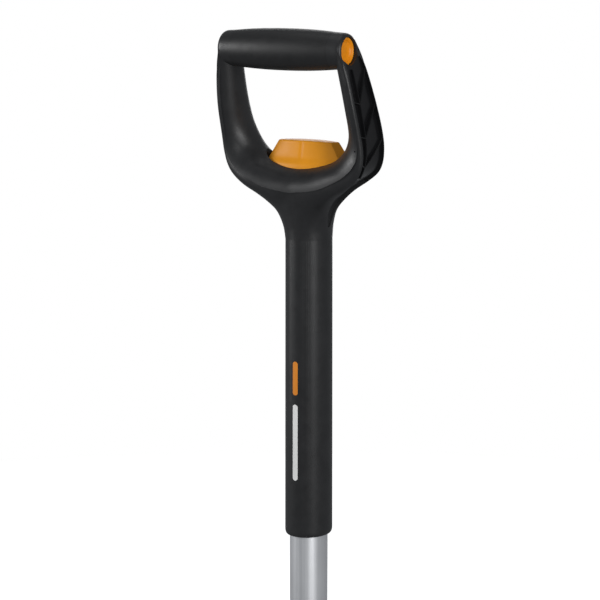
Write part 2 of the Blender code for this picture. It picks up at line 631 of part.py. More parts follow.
def build():
    """Make every piece and stand the spade with its grip at the origin."""
    nylon = material("black_nylon", (0.027, 0.028, 0.030), 0.45)
    soft = material("soft_grip", (0.024, 0.025, 0.027), 0.62)
    orange = material("orange_nylon", (0.80, 0.33, 0.05), 0.38)
    zinc = material("zinc_plated_steel", (0.62, 0.63, 0.64), 0.35, 1.0)
    spring_steel = material("spring_steel", (0.42, 0.43, 0.45), 0.30, 1.0)
    acetal = material("grey_acetal", (0.25, 0.26, 0.27), 0.45)
    brake_rubber = material("brake_pad", (0.06, 0.05, 0.05), 0.70)
    aluminium = material("satin_aluminium", (0.56, 0.58, 0.61), 0.38, 0.9)
    blade_steel = material("blade_steel", (0.10, 0.10, 0.11), 0.42, 0.8)

    made = [handle_frame(nylon), crossbar_grip(soft), end_plug("end_plug_right", 1, orange),
            end_plug("end_plug_left", -1, orange), release_button(orange), button_spring(spring_steel),
            lock_head(acetal), brake_wedge(zinc), brake_shoe("brake_shoe_front", -1, brake_rubber),
            brake_shoe("brake_shoe_back", 1, brake_rubber)]
    made += [stem_tube(zinc), stem_pin("stem_pin_right", 1, zinc), stem_pin("stem_pin_left", -1, zinc),
             rod_between("push_rod", (0, 0, WEDGE_TOP + GAP), (0, 0, BUTTON_BASE - GAP), ROD_RADIUS, zinc,
                         sides=12)]
    made.append(oval_tube("mouth_bush", SHAFT_X, SHAFT_Y,
                          tube_profile(2 * MM, GAP, SLEEVE_MOUTH + 1 * MM, SLEEVE_MOUTH + 26.5 * MM), acetal))
    made.append(oval_tube("shaft_guide", SHAFT_X, SHAFT_Y,
                          tube_profile(1.2 * MM, GAP, SHAFT_TOP - 26 * MM, SHAFT_TOP - 1 * MM), acetal))
    shaft = oval_tube("shaft", SHAFT_X, SHAFT_Y, tube_profile(0, -SHAFT_WALL, SHAFT_BOTTOM, SHAFT_TOP),
                      aluminium)
    made += [combine(piece, rivet_holes(), "DIFFERENCE") for piece in (shaft, socket(blade_steel))]
    made += [rivet(name, z, zinc) for name, z in RIVETS.items()]
    made.append(oval_tube("ferrule", SHAFT_X, SHAFT_Y,
                          [(1.6 * MM, FERRULE_TOP), (GAP, FERRULE_TOP), (GAP, SOCKET_TOP + GAP),
                           (3.2 * MM, SOCKET_TOP + GAP), (3.2 * MM, FERRULE_BOTTOM + 6 * MM)], nylon))
    made.append(blade_sheet("blade", BLADE_THICKNESS, blade_steel))
    made.append(tread("tread_right", 1, blade_steel))
    made.append(tread("tread_left", -1, blade_steel))

    axes = bpy.data.objects.new("spade_axes", None)
    bpy.context.collection.objects.link(axes)
    axes.location = (0, GRIP_REACH, -GRIP_HEIGHT)
    for obj in made:
        obj.parent = axes


for old in list(bpy.data.objects):
    bpy.data.objects.remove(old)
build()
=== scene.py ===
"""Looks of the telescopic garden spade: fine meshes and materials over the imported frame."""

import math

import bmesh
import bpy
import numpy as np
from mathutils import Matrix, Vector


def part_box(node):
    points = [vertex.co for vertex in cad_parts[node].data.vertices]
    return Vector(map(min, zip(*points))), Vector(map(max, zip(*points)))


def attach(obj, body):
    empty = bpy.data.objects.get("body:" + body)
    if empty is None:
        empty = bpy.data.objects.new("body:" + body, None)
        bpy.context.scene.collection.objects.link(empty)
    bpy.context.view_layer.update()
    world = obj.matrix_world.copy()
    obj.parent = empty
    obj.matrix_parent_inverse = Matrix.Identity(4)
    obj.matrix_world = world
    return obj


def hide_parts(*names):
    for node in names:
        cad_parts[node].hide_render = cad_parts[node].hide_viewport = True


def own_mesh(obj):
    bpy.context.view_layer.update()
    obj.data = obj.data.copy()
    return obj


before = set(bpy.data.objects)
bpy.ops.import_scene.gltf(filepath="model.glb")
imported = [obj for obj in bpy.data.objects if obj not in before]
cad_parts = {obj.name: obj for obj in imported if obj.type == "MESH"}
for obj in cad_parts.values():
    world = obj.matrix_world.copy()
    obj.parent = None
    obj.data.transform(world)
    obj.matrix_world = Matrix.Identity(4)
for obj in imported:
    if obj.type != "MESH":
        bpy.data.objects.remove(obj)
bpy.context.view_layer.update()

MM = 0.001
GAP = 0.3 * MM
SEAM = 0.06 * MM
SHARP = math.radians(32)

# The shaft's axis and the blade's tip, read from the frame: shapes below are drawn about that axis.
shaft_low, shaft_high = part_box("shaft")
tip_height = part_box("blade")[0][2]
AXIS = Vector(((shaft_low[0] + shaft_high[0]) / 2, (shaft_low[1] + shaft_high[1]) / 2, tip_height))


def size_of(node):
    """Width, depth and height of a node."""
    low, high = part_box(node)
    return [b - a for a, b in zip(low, high)]


SHAFT_X, SHAFT_Y = size_of("shaft")[0] / 2, size_of("shaft")[1] / 2
GRIP_LOW, GRIP_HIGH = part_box("crossbar_grip")
GRIP_HEIGHT = (GRIP_LOW[2] + GRIP_HIGH[2]) / 2 - tip_height
GRIP_REACH = AXIS.y - (GRIP_LOW[1] + GRIP_HIGH[1]) / 2
GRIP_RADIUS = (GRIP_HIGH[2] - GRIP_LOW[2]) / 2
GRIP_HALF = GRIP_HIGH[0]
GRIP_END_RADIUS = 15 * MM
CORE_RADIUS = 11 * MM
HEAD_END = 58.5 * MM
HEAD_RADIUS = 14.7 * MM
PLUG_RADIUS = size_of("end_plug_right")[2] / 2
BLADE_LENGTH = size_of("blade")[2]
BLADE_HALF = size_of("blade")[0] / 2
BLADE_THICKNESS = 2.2 * MM
RIVET_HEIGHTS = (412 * MM, 372 * MM)
RIVET_RADIUS = 2.5 * MM
FERRULE_WALL = size_of("ferrule")[0] / 2 - SHAFT_X
BLADE_TIP_HALF = 82 * MM
BLADE_DISH = 12 * MM
BLADE_CORNER = 34 * MM
SHAFT_BOTTOM = shaft_low[2] - tip_height
SHAFT_TOP = shaft_high[2] - tip_height
SHAFT_WALL = 1.5 * MM
SOCKET_TOP = 432 * MM
SLEEVE_X, SLEEVE_Y = 19.5 * MM, 22.0 * MM     # half-width and half-depth at the sleeve's mouth
SLEEVE_LOW, SLEEVE_HIGH = 622 * MM, 873 * MM  # the run of the sleeve that tapers
SLEEVE_TAPER = 0.5 * MM
PIN_HEIGHT = 896 * MM
STEM_TOP = 904.8 * MM
WELL_FLOOR = 906 * MM
DRAW_OUT = 200 * MM


# ---------------------------------------------------------------- mesh work

def resample(controls, count):
    """Read count rows from the smooth curve through the control rows, every column alike."""
    rows = np.array(controls, dtype=float)
    padded = np.vstack([2 * rows[0] - rows[1], rows, 2 * rows[-1] - rows[-2]])
    out = []
    for u in np.linspace(0, len(rows) - 1, count):
        i = min(int(u), len(rows) - 2)
        t = u - i
        a, b, c, d = padded[i:i + 4]
        out.append(0.5 * (2 * b + (c - a) * t + (2 * a - 5 * b + 4 * c - d) * t ** 2
                          + (3 * b - a - 3 * c + d) * t ** 3))
    return out


def skin(loops, closed=False, capped=True):
    """Draw a skin from one ring of points to the next, each ring pulled out of the one before."""
    bm = bmesh.new()
    ring = bmesh.ops.create_circle(bm, segments=len(loops[0]), radius=1.0)["verts"]
    first = list(ring)
    for vert, point in zip(ring, loops[0]):
        vert.co = point
    edges = list(bm.edges)
    first_edges = list(edges)
    for loop in loops[1:]:
        place = {vert: i for i, vert in enumerate(ring)}
        pulled = bmesh.ops.extrude_edge_only(bm, edges=edges)["geom"]
        fresh = [g for g in pulled if isinstance(g, bmesh.types.BMVert)]
        edges = [g for g in pulled if isinstance(g, bmesh.types.BMEdge)]
        order = [None] * len(ring)
        for vert in fresh:
            below = next(e.other_vert(vert) for e in vert.link_edges if e.other_vert(vert) in place)
            order[place[below]] = vert
        ring = order
        for vert, point in zip(ring, loop):
            vert.co = point
    if closed:
        bmesh.ops.bridge_loops(bm, edges=edges + first_edges)
    elif capped:
        bmesh.ops.contextual_create(bm, geom=first)
        bmesh.ops.contextual_create(bm, geom=ring)
    bmesh.ops.recalc_face_normals(bm, faces=bm.faces)
    return bm


def make(name, bm, mats, smooth=True):
    """Turn a bmesh drawn about the shaft's axis into an object in the frame's place."""
    bmesh.ops.translate(bm, vec=AXIS, verts=bm.verts)
    mesh = bpy.data.meshes.new(name)
    bm.to_mesh(mesh)
    bm.free()
    for mat in mats:
        mesh.materials.append(mat)
    if smooth:
        mesh.shade_smooth()
        mesh.set_sharp_from_angle(angle=SHARP)
    obj = bpy.data.objects.new(name, mesh)
    bpy.context.collection.objects.link(obj)
    return obj


def paint(bm, index):
    """Give every face of a bmesh one material index."""
    for face in bm.faces:
        face.material_index = index
    return bm


def mirrored(bm):
    """A copy of a bmesh on the other side of the shaft."""
    twin = bm.copy()
    bmesh.ops.scale(twin, vec=(-1, 1, 1), verts=twin.verts)
    bmesh.ops.reverse_faces(twin, faces=twin.faces)
    return twin


def combine(target, tools, operation):
    """Join tools to the target, or cut them from it, one at a time."""
    for bm in tools:
        tool = make("tool", bm, list(target.data.materials), smooth=False)
        boolean = target.modifiers.new("combine", "BOOLEAN")
        boolean.operation = operation
        boolean.solver = "MANIFOLD"
        boolean.object = tool
        bpy.context.view_layer.update()
        graph = bpy.context.evaluated_depsgraph_get()
        mesh = bpy.data.meshes.new_from_object(target.evaluated_get(graph))
        target.modifiers.clear()
        target.data = mesh
        bpy.data.objects.remove(tool)
    return target


def settle(obj, weld=0.01 * MM):
    """Weld a combined mesh and shade it smooth between its sharp edges."""
    bm = bmesh.new()
    bm.from_mesh(obj.data)
    bmesh.ops.remove_doubles(bm, verts=bm.verts, dist=weld)
    bmesh.ops.dissolve_degenerate(bm, dist=weld, edges=bm.edges)
    bm.to_mesh(obj.data)
    bm.free()
    obj.data.shade_smooth()
    obj.data.set_sharp_from_angle(angle=SHARP)
    return obj


def oval(x, y, z, sides=96, shift=0.0, power=2.0):
    """Points of a level oval with half-widths x and y at height z."""
    points = []
    for i in range(sides):
        a = 2 * math.pi * i / sides
        c, s = math.cos(a), math.sin(a)
        points.append((x * math.copysign(abs(c) ** (2 / power), c),
                       shift + y * math.copysign(abs(s) ** (2 / power), s), z))
    return points


def rod(start, end, radius, sides=48):
    """A plain round rod between two points."""
    start, end = Vector(start), Vector(end)
    turn = (end - start).to_track_quat("Z", "Y").to_matrix()
    circle = [Vector((radius * math.cos(a), radius * math.sin(a), 0))
              for a in np.linspace(0, 2 * math.pi, sides, endpoint=False)]
    return skin([[point + turn @ p for p in circle] for point in (start, end)])


def wheel(x, radius, sides=96):
    """Points of an upright circle about the grip's axis, at x along it."""
    return [(x, -GRIP_REACH + radius * math.cos(2 * math.pi * i / sides),
             GRIP_HEIGHT + radius * math.sin(2 * math.pi * i / sides)) for i in range(sides)]


# ---------------------------------------------------------------- materials

def finish_of(name, colour, roughness, metallic=0.0, specular=0.5):
    """A Principled material, and what adds detail to it: nodes, links, shader, Object coordinates."""
    mat = bpy.data.materials.new(name)
    mat.use_nodes = True
    nodes, links = mat.node_tree.nodes, mat.node_tree.links
    shader = nodes["Principled BSDF"]
    shader.inputs["Base Color"].default_value = (*colour, 1)
    shader.inputs["Roughness"].default_value = roughness
    shader.inputs["Metallic"].default_value = metallic
    shader.inputs["Specular IOR Level"].default_value = specular
    where = nodes.new("ShaderNodeTexCoord")
    return mat, nodes, links, shader, where.outputs["Object"]


def noise(nodes, links, where, scale, detail=3.0, stretch=None):
    """Noise on Object coordinates, drawn out along an axis where stretch says so."""
    source = where
    if stretch:
        mapping = nodes.new("ShaderNodeMapping")
        mapping.inputs["Scale"].default_value = stretch
        links.new(where, mapping.inputs["Vector"])
        source = mapping.outputs["Vector"]
    tex = nodes.new("ShaderNodeTexNoise")
    tex.inputs["Scale"].default_value = scale
    tex.inputs["Detail"].default_value = detail
    links.new(source, tex.inputs["Vector"])
    return tex.outputs["Fac"]


def spread(nodes, links, value, low, high, start=0.3, end=0.7):
    """Map a 0 to 1 value onto low to high."""
    ramp = nodes.new("ShaderNodeMapRange")
    ramp.inputs["From Min"].default_value = start
    ramp.inputs["From Max"].default_value = end
    ramp.inputs["To Min"].default_value = low
    ramp.inputs["To Max"].default_value = high
    links.new(value, ramp.inputs["Value"])
    return ramp.outputs["Result"]


def tint(nodes, links, value, dark, light):
    """Colour between dark and light by a 0 to 1 value."""
    mix = nodes.new("ShaderNodeMix")
    mix.data_type = "RGBA"
    mix.inputs["A"].default_value = (*dark, 1)
    mix.inputs["B"].default_value = (*light, 1)
    links.new(value, mix.inputs["Factor"])
    return mix.outputs["Result"]


def emboss(nodes, links, shader, height, strength, distance):
    """Raise the surface by a height value."""
    bump = nodes.new("ShaderNodeBump")
    bump.inputs["Strength"].default_value = strength
    bump.inputs["Distance"].default_value = distance
    links.new(height, bump.inputs["Height"])
    links.new(bump.outputs["Normal"], shader.inputs["Normal"])


def moulded_nylon(name, dark, light, rough_low, rough_high, specular, grain=2600.0, depth=0.03 * MM):
    """Moulded plastic: a fine spark-eroded grain, a little mottling and an uneven sheen."""
    mat, nodes, links, shader, where = finish_of(name, light, rough_low, specular=specular)
    mottle = spread(nodes, links, noise(nodes, links, where, 60.0), 0, 1)
    links.new(tint(nodes, links, mottle, dark, light), shader.inputs["Base Color"])
    links.new(spread(nodes, links, noise(nodes, links, where, 220.0), rough_low, rough_high),
              shader.inputs["Roughness"])
    emboss(nodes, links, shader, noise(nodes, links, where, grain, 2.0), 0.35, depth)
    return mat


def drawn_aluminium():
    """Satin anodised tube with faint die lines along its length."""
    mat, nodes, links, shader, where = finish_of("satin_aluminium", (0.84, 0.85, 0.87), 0.38, 0.85)
    lines = noise(nodes, links, where, 900.0, 4.0, stretch=(1, 1, 0.004))
    cloud = noise(nodes, links, where, 35.0, 2.0)
    links.new(tint(nodes, links, spread(nodes, links, cloud, 0, 1), (0.80, 0.81, 0.83), (0.87, 0.88, 0.90)),
              shader.inputs["Base Color"])
    links.new(spread(nodes, links, lines, 0.33, 0.46), shader.inputs["Roughness"])
    emboss(nodes, links, shader, lines, 0.25, 0.02 * MM)
    return mat


def plated(name, dark, light):
    """Bright plated steel with fine machining marks."""
    mat, nodes, links, shader, where = finish_of(name, light, 0.3, 1.0)
    marks = noise(nodes, links, where, 700.0, 4.0)
    links.new(tint(nodes, links, marks, dark, light), shader.inputs["Base Color"])
    links.new(spread(nodes, links, marks, 0.22, 0.42), shader.inputs["Roughness"])
    return mat


def coated_steel(name, ground_height=None):
    """Black powder coat with orange-peel; below ground_height it gives way to bright ground steel."""
    mat, nodes, links, shader, where = finish_of(name, (0.03, 0.031, 0.033), 0.42, 0.0, 0.4)
    peel = noise(nodes, links, where, 420.0, 3.0)
    mottle = spread(nodes, links, noise(nodes, links, where, 18.0, 5.0), 0, 1)
    coat = tint(nodes, links, mottle, (0.020, 0.021, 0.022), (0.038, 0.039, 0.041))
    gloss = spread(nodes, links, noise(nodes, links, where, 90.0), 0.34, 0.50)
    emboss(nodes, links, shader, peel, 0.4, 0.05 * MM)
    if ground_height is None:
        links.new(coat, shader.inputs["Base Color"])
        links.new(gloss, shader.inputs["Roughness"])
        return mat
    split = nodes.new("ShaderNodeSeparateXYZ")
    links.new(where, split.inputs["Vector"])
    ragged = nodes.new("ShaderNodeMath")
    ragged.operation = "MULTIPLY_ADD"
    links.new(noise(nodes, links, where, 130.0, 5.0), ragged.inputs[0])
    ragged.inputs[1].default_value = 7 * MM
    links.new(split.outputs["Z"], ragged.inputs[2])
    bare = spread(nodes, links, ragged.outputs["Value"], 1.0, 0.0,
                  ground_height + 3 * MM, ground_height + 4.2 * MM)
    scratches = noise(nodes, links, where, 500.0, 4.0, stretch=(1, 1, 0.03))
    steel = tint(nodes, links, scratches, (0.30, 0.30, 0.31), (0.52, 0.52, 0.53))
    mix = nodes.new("ShaderNodeMix")
    mix.data_type = "RGBA"
    links.new(bare, mix.inputs["Factor"])
    links.new(coat, mix.inputs["A"])
    links.new(steel, mix.inputs["B"])
    links.new(mix.outputs["Result"], shader.inputs["Base Color"])
    links.new(bare, shader.inputs["Metallic"])
    links.new(gloss, shader.inputs["Roughness"])
    return mat


NYLON = moulded_nylon("black_nylon", (0.0130, 0.0133, 0.0142), (0.0180, 0.0183, 0.0195), 0.36, 0.46, 0.40)
# Gloss nylon for the recess: lower roughness, and a base colour about half that of the black nylon, which is
# painted shade in the recess.
GLOSS_SHADE = moulded_nylon("gloss_nylon_painted_shade", (0.0060, 0.0060, 0.0066), (0.0090, 0.0090, 0.0098), 0.20, 0.27, 0.22,
                      grain=700.0, depth=0.01 * MM)
SOFT = moulded_nylon("soft_grip", (0.0090, 0.0092, 0.0098), (0.0130, 0.0132, 0.0140), 0.40, 0.50, 0.40,
                     grain=1700.0, depth=0.05 * MM)
BUTTON = moulded_nylon("orange_button", (0.78, 0.300, 0.010), (0.84, 0.330, 0.014), 0.42, 0.50, 0.25)
PLUG = moulded_nylon("orange_plug", (0.74, 0.245, 0.003), (0.80, 0.275, 0.004), 0.30, 0.38, 0.3)
ACETAL = moulded_nylon("grey_acetal", (0.19, 0.20, 0.21), (0.25, 0.26, 0.27), 0.40, 0.50, 0.5)
PAD = moulded_nylon("brake_pad", (0.040, 0.036, 0.034), (0.070, 0.062, 0.058), 0.70, 0.85, 0.3, grain=900.0)
WHITE = moulded_nylon("white_print", (0.70, 0.70, 0.69), (0.78, 0.78, 0.77), 0.45, 0.55, 0.4)
ORANGE = moulded_nylon("orange_print", (0.66, 0.21, 0.012), (0.72, 0.245, 0.018), 0.45, 0.55, 0.4)
ALUMINIUM = drawn_aluminium()
ZINC = plated("zinc_plated_steel", (0.52, 0.53, 0.54), (0.68, 0.69, 0.70))
WIRE = plated("spring_steel", (0.34, 0.35, 0.36), (0.46, 0.47, 0.49))
COATED = coated_steel("powder_coat")
BLADE = coated_steel("blade_steel", ground_height=tip_height + 13 * MM)


# ---------------------------------------------------------------- the D-frame

# Height and forward lean of the D's middle, in millimetres from the blade's tip and from the shaft's axis.
LEAN = [(860, 0), (872, 0), (888, -1.0), (905, -3.4), (925, -6.2), (952, -9.8), (990, -22.0), (1032, -35.0),
        (1060, -46.0)]

# Inner band of the D, half of it, in millimetres: crease x, z; inner surface x, z; half-depth; squareness.
BAND = [(57.0, 1035, 47.6, 1035, 14.4, 2.1), (61.0, 1018, 48.6, 1018, 16.0, 2.1),
        (63.4, 988, 50.4, 988, 18.0, 2.05), (64.4, 966, 49.9, 968, 19.5, 2.0),
        (63.6, 953, 45.0, 954, 20.6, 2.05), (61.2, 944, 37.8, 945, 21.8, 2.1),
        (56.0, 936.5, 30.0, 939.8, 23.4, 2.15), (46.5, 929.5, 21.0, 937.4, 25.2, 2.2),
        (26.0, 921, 10.5, 936.0, 26.6, 2.2), (0.0, 917.5, 0.0, 935.6, 26.9, 2.2)]
BAND_TAPER = 0.08

# Side of the D, half of it: outer face x, z; far side x, z; half-depth, all in millimetres; squareness.
SIDE = [(52.5, 1042, 48.5, 1042, 6.0, 2.4), (57.6, 1033, 53, 1033, 11.6, 3.0),
        (61.4, 1024, 56.5, 1024, 14.4, 4.0), (64.2, 1013, 59, 1013, 16.2, 4.6),
        (67.0, 988, 61.6, 988, 18.2, 5.0), (68.2, 957, 62.4, 959, 19.8, 5.0),
        (67.4, 943, 59.8, 948.5, 20.6, 5.0), (64.6, 933.5, 56, 941.5, 21.6, 5.0),
        (59.5, 926.0, 50.5, 935, 23.0, 4.2), (50.0, 918.5, 40, 928.5, 25.0, 3.5),
        (39.0, 911.5, 25, 923, 25.8, 3.0), (30.0, 903.5, 10, 920, 25.6, 2.7),
        (23.6, 895.0, -0.6, 917, 24.6, 2.5), (20.0, 884, -0.6, 890, 22.2, 2.2),
        (19.0, 872, -0.6, 872, 21.5, 2.0)]

# Recess in the outer face: half-width and depth at the stations of SIDE, from its third to its fourteenth.
RECESS = [(11.5, 1.3), (14.0, 3.4), (15.8, 4.2), (17.2, 4.2), (18.0, 4.2), (18.6, 4.2), (19.2, 4.4),
          (19.0, 5.0), (16.0, 5.2), (11.0, 4.8), (6.0, 3.6), (1.6, 1.6)]
RECESS_DEPTH = 4.2 * MM
# Height below which the recess goes back to plain black nylon; above it the recess keeps the darkened gloss
# colour, which is painted shade.
RECESS_SHADE_LOW = 922 * MM
RIB_WIDTH = 1.1 * MM
RIB_SET_BACK = 1.2 * MM

# Ribs on the recess's floor, by depth and height in millimetres: the spine's bends, then each chevron's node,
# its front end and its back end.
SPINE = [(-4.0, 1018), (-4.5, 1012), (-5.6, 990.7), (-8.0, 963.8), (-11.7, 938.5), (-13.4, 930)]
CHEVRONS = [((-5.6, 990.7), (-16.0, 996.3), (14.2, 1013.5)), ((-8.0, 963.8), (-17.2, 968.6), (16.3, 983.3)),
            ((-11.7, 938.5), (-18.4, 943.0), (17.6, 955.7))]

LEAN_HEIGHTS, LEAN_SHIFTS = np.array(LEAN).T * MM
LEAN_SLOPES = np.gradient(LEAN_SHIFTS, LEAN_HEIGHTS)


def lean(z):
    """Where the middle of the D is in Y at height z: a smooth curve through LEAN."""
    i = int(np.clip(np.searchsorted(LEAN_HEIGHTS, z) - 1, 0, len(LEAN) - 2))
    step = LEAN_HEIGHTS[i + 1] - LEAN_HEIGHTS[i]
    t = min(max((z - LEAN_HEIGHTS[i]) / step, 0.0), 1.0)
    return float(LEAN_SHIFTS[i] * (1 + 2 * t) * (1 - t) ** 2 + LEAN_SHIFTS[i + 1] * t ** 2 * (3 - 2 * t)
                 + step * (LEAN_SLOPES[i] * t * (1 - t) ** 2 - LEAN_SLOPES[i + 1] * t ** 2 * (1 - t)))


def tilt(z):
    """Angle by which a cross-section at height z is tipped, its back raised."""
    return math.atan((lean(z - 4 * MM) - lean(z + 4 * MM)) / (8 * MM))


def section(outer, inner, outline):
    """Place outline points (inward distance, depth) on the cross-section that runs from outer to inner."""
    outer, inner = np.array(outer), np.array(inner)
    inward = (inner - outer) / np.linalg.norm(inner - outer)
    middle = (outer + inner) / 2
    angle, shift = tilt(middle[1]), lean(middle[1])
    points = []
    for p, q in outline:
        x, z = outer + inward * p
        points.append((x, shift + (middle[1] - z) * math.tan(angle) + q * math.cos(angle),
                       z + q * math.sin(angle)))
    return points


def band(steps=70, around=40):
    """The inner band of the D, convex, from one end of the crossbar round to the other."""
    scale = np.array([MM, MM, MM, MM, MM, 1.0])
    half = []
    for ax, az, ix, iz, b, square in resample(np.array(BAND) * scale, steps):
        thickness = math.hypot(ix - ax, iz - az)
        outline = []
        for k in range(around + 1):
            a = math.pi * k / around - math.pi / 2
            inward = abs(math.cos(a)) ** (2 / square)
            across = math.copysign(abs(math.sin(a)) ** (2 / square), a)
            outline.append((thickness * inward, b * (1 - BAND_TAPER * inward) * across))
        half.append(section((ax, az), (ix, iz), outline))
    return skin(half + [[(-x, y, z) for x, y, z in loop] for loop in reversed(half[:-1])])


def side_rows(steps):
    """Smooth stations of the side: outer point, far point, half-depth, squareness."""
    return resample(np.array(SIDE) * np.array([MM, MM, MM, MM, MM, 1.0]), steps)


def side(steps=80, around=40):
    """The right side of the D with its run into the neck."""
    loops = []
    for ox, oz, jx, jz, b, square in side_rows(steps):
        width = math.hypot(jx - ox, jz - oz)
        outline = []
        for k in range(around + 1):
            a = math.pi * k / around - math.pi / 2
            outline.append((width * (1 - abs(math.cos(a)) ** (2 / square)),
                            b * math.copysign(abs(math.sin(a)) ** (2 / square), a)))
        loops.append(section((ox, oz), (jx, jz), outline))
    return skin(loops)


def recess(steps=60):
    """Cutter that sinks the right outer face between its two rims."""
    rows = [(*row[:4], *cut) for row, cut in zip(SIDE[2:14], RECESS)]
    loops = []
    for ox, oz, jx, jz, half, depth in resample(np.array(rows) * MM, steps):
        outline = [(-6 * MM, -half)]
        for k in range(9):
            t = k / 4 - 1
            outline.append((depth * (1 - 0.12 * t * t), half * 0.94 * t))
        outline.append((-6 * MM, half))
        loops.append(section((ox, oz), (jx, jz), outline))
    # The recess's faces take the second material: gloss nylon darkened as painted shade.
    return paint(skin(loops), 1)


def rib(start, end, steps=10):
    """A thin upright rib on the recess floor, between two (depth, height) points, with a rounded top."""
    rows = side_rows(120)
    heights = [row[1] for row in rows][::-1]
    outers = [row[0] for row in rows][::-1]
    direction = Vector((0, end[0] - start[0], end[1] - start[1])).normalized()
    across = Vector((-direction.z, direction.y)) * RIB_WIDTH / 2
    loops = []
    for k in range(steps + 1):
        q = start[0] + (end[0] - start[0]) * k / steps
        z = start[1] + (end[1] - start[1]) * k / steps
        x = float(np.interp(z, heights, outers))
        y, z = lean(z) + q * math.cos(tilt(z)), z + q * math.sin(tilt(z))
        low, high = x - RECESS_DEPTH - 1 * MM, x - RIB_SET_BACK
        profile = [(low, 1.3), (high - 0.5 * MM, 1.0), (high - 0.12 * MM, 0.7), (high, 0.0),
                   (high - 0.12 * MM, -0.7), (high - 0.5 * MM, -1.0), (low, -1.3)]
        loops.append([(px, y + across.x * t, z + across.y * t) for px, t in profile])
    # The rib takes the second material: gloss nylon darkened as painted shade.
    return paint(skin(loops), 1)


def ribs():
    """The spine and the three chevrons of the right outer face."""
    spine = [(q * MM, z * MM) for q, z in SPINE]
    made = [rib(a, b) for a, b in zip(spine, spine[1:])]
    for node, front, back in CHEVRONS:
        for end in (front, back):
            made.append(rib((node[0] * MM, node[1] * MM), (end[0] * MM, end[1] * MM)))
    return made


BUTTON_LOW, BUTTON_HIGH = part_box("release_button")
BUTTON_HALF = BUTTON_HIGH[0]
BUTTON_Y = -1.0 * MM
BUTTON_BASE = BUTTON_LOW[2] - tip_height
BUTTON_CROWN = BUTTON_HIGH[2] - tip_height
BUTTON_RISE = 12 * MM
POCKET_DEPTH = 9.5 * MM


def button_rise(x):
    """How much higher the button's underside is at x than in the middle."""
    return BUTTON_RISE * (abs(x) / BUTTON_HALF) ** 2.2


def button_depths(x):
    """Front and back depth of the button at x: a lens that bulges more to the front."""
    bulge = math.sqrt(max(1 - (x / BUTTON_HALF) ** 2, 0))
    return (2.2 + 14.8 * bulge) * MM, (2.2 + 8.3 * bulge) * MM


def pocket():
    """Cutter for the pocket that the button sinks into."""
    end, gap = BUTTON_HALF + 0.8 * MM, 0.6 * MM
    loops = []
    for x in np.linspace(-end, end, 49):
        front, back = button_depths(x / 1.02)
        low = BUTTON_BASE - POCKET_DEPTH + button_rise(x)
        loops.append([(x, BUTTON_Y - front - gap, low), (x, BUTTON_Y + back + gap, low),
                      (x, BUTTON_Y + back + gap, 985 * MM), (x, BUTTON_Y - front - gap, 985 * MM)])
    return skin(loops)


def handle_frame():
    """D-frame, neck and sleeve, moulded in one, with its recessed and ribbed outer faces."""
    # The second material is the gloss nylon, darkened as painted shade for the recess.
    body = make("handle_moulding", band(), [NYLON, GLOSS_SHADE])
    right = side()
    core = skin([wheel(x, CORE_RADIUS) for x in (-52 * MM, 52 * MM)])
    joins = [right.copy(), mirrored(right), core]
    right.free()
    for hand in (1, -1):
        profile = [(GRIP_HALF + SEAM, GRIP_END_RADIUS), (HEAD_END - 7 * MM, HEAD_RADIUS)]
        for a in np.linspace(0, math.pi / 2, 9):
            profile.append((HEAD_END - 4.5 * MM * (1 - math.sin(a)) + 0.4 * MM,
                            HEAD_RADIUS - 3.0 * MM * (1 - math.cos(a)) - 0.2 * MM))
        profile += [(HEAD_END + 0.1 * MM, PLUG_RADIUS + 0.7 * MM),
                    (HEAD_END - 0.5 * MM, PLUG_RADIUS + 0.5 * MM)]
        joins.append(skin([wheel(hand * x, r) for x, r in profile]))
    outside = [(17.9, 20.4, 618.0), (18.5, 21.0, 618.25), (19.0, 21.5, 619.0), (19.35, 21.85, 620.2),
               (19.5, 22.0, 622.0)]
    outside = [(x * MM, y * MM, z * MM) for x, y, z in outside]
    sleeve = [oval(x, y, z) for x, y, z in outside]
    sleeve += [oval(SLEEVE_X - SLEEVE_TAPER, SLEEVE_Y - SLEEVE_TAPER, SLEEVE_HIGH),
               oval(17.5 * MM, 20.0 * MM, 884 * MM)]
    joins.append(skin(sleeve))
    combine(body, joins, "UNION")
    groove = recess()
    combine(body, [groove.copy(), mirrored(groove)], "DIFFERENCE")
    groove.free()
    # Painted shade: recess faces below that height go back to plain black nylon, so the darkened gloss colour
    # fills only the upper recess.
    for face in body.data.polygons:
        if face.center.z < AXIS.z + RECESS_SHADE_LOW:
            face.material_index = 0
    bars = ribs()
    combine(body, bars + [mirrored(bar) for bar in bars], "UNION")
    cuts = [skin([oval(SHAFT_X + 1.5 * MM, SHAFT_Y + 1.5 * MM, z * MM) for z in (600, 886.5)]),
            skin([oval(SHAFT_X + 2.3 * MM, SHAFT_Y + 2.3 * MM, z * MM) for z in (600, 645)]), pocket(),
            rod((0, 0, 880 * MM), (0, 0, STEM_TOP), 7.3 * MM),
            rod((0, 0, 900 * MM), (0, 0, 912 * MM), 3.2 * MM),
            rod((0, 0, WELL_FLOOR), (0, 0, 925 * MM), 6.2 * MM)]
    for hand in (1, -1):
        cuts.append(rod((0, 0, PIN_HEIGHT), (hand * 13.8 * MM, 0, PIN_HEIGHT), 2.3 * MM))
        cuts.append(skin([wheel(hand * (HEAD_END - x * MM), PLUG_RADIUS - 1.5 * MM) for x in (11.5, 4.2)]))
        cuts.append(skin([wheel(hand * (HEAD_END - x * MM), PLUG_RADIUS + GAP) for x in (4.5, -5.0)]))
    combine(body, cuts, "DIFFERENCE")
    return settle(body)


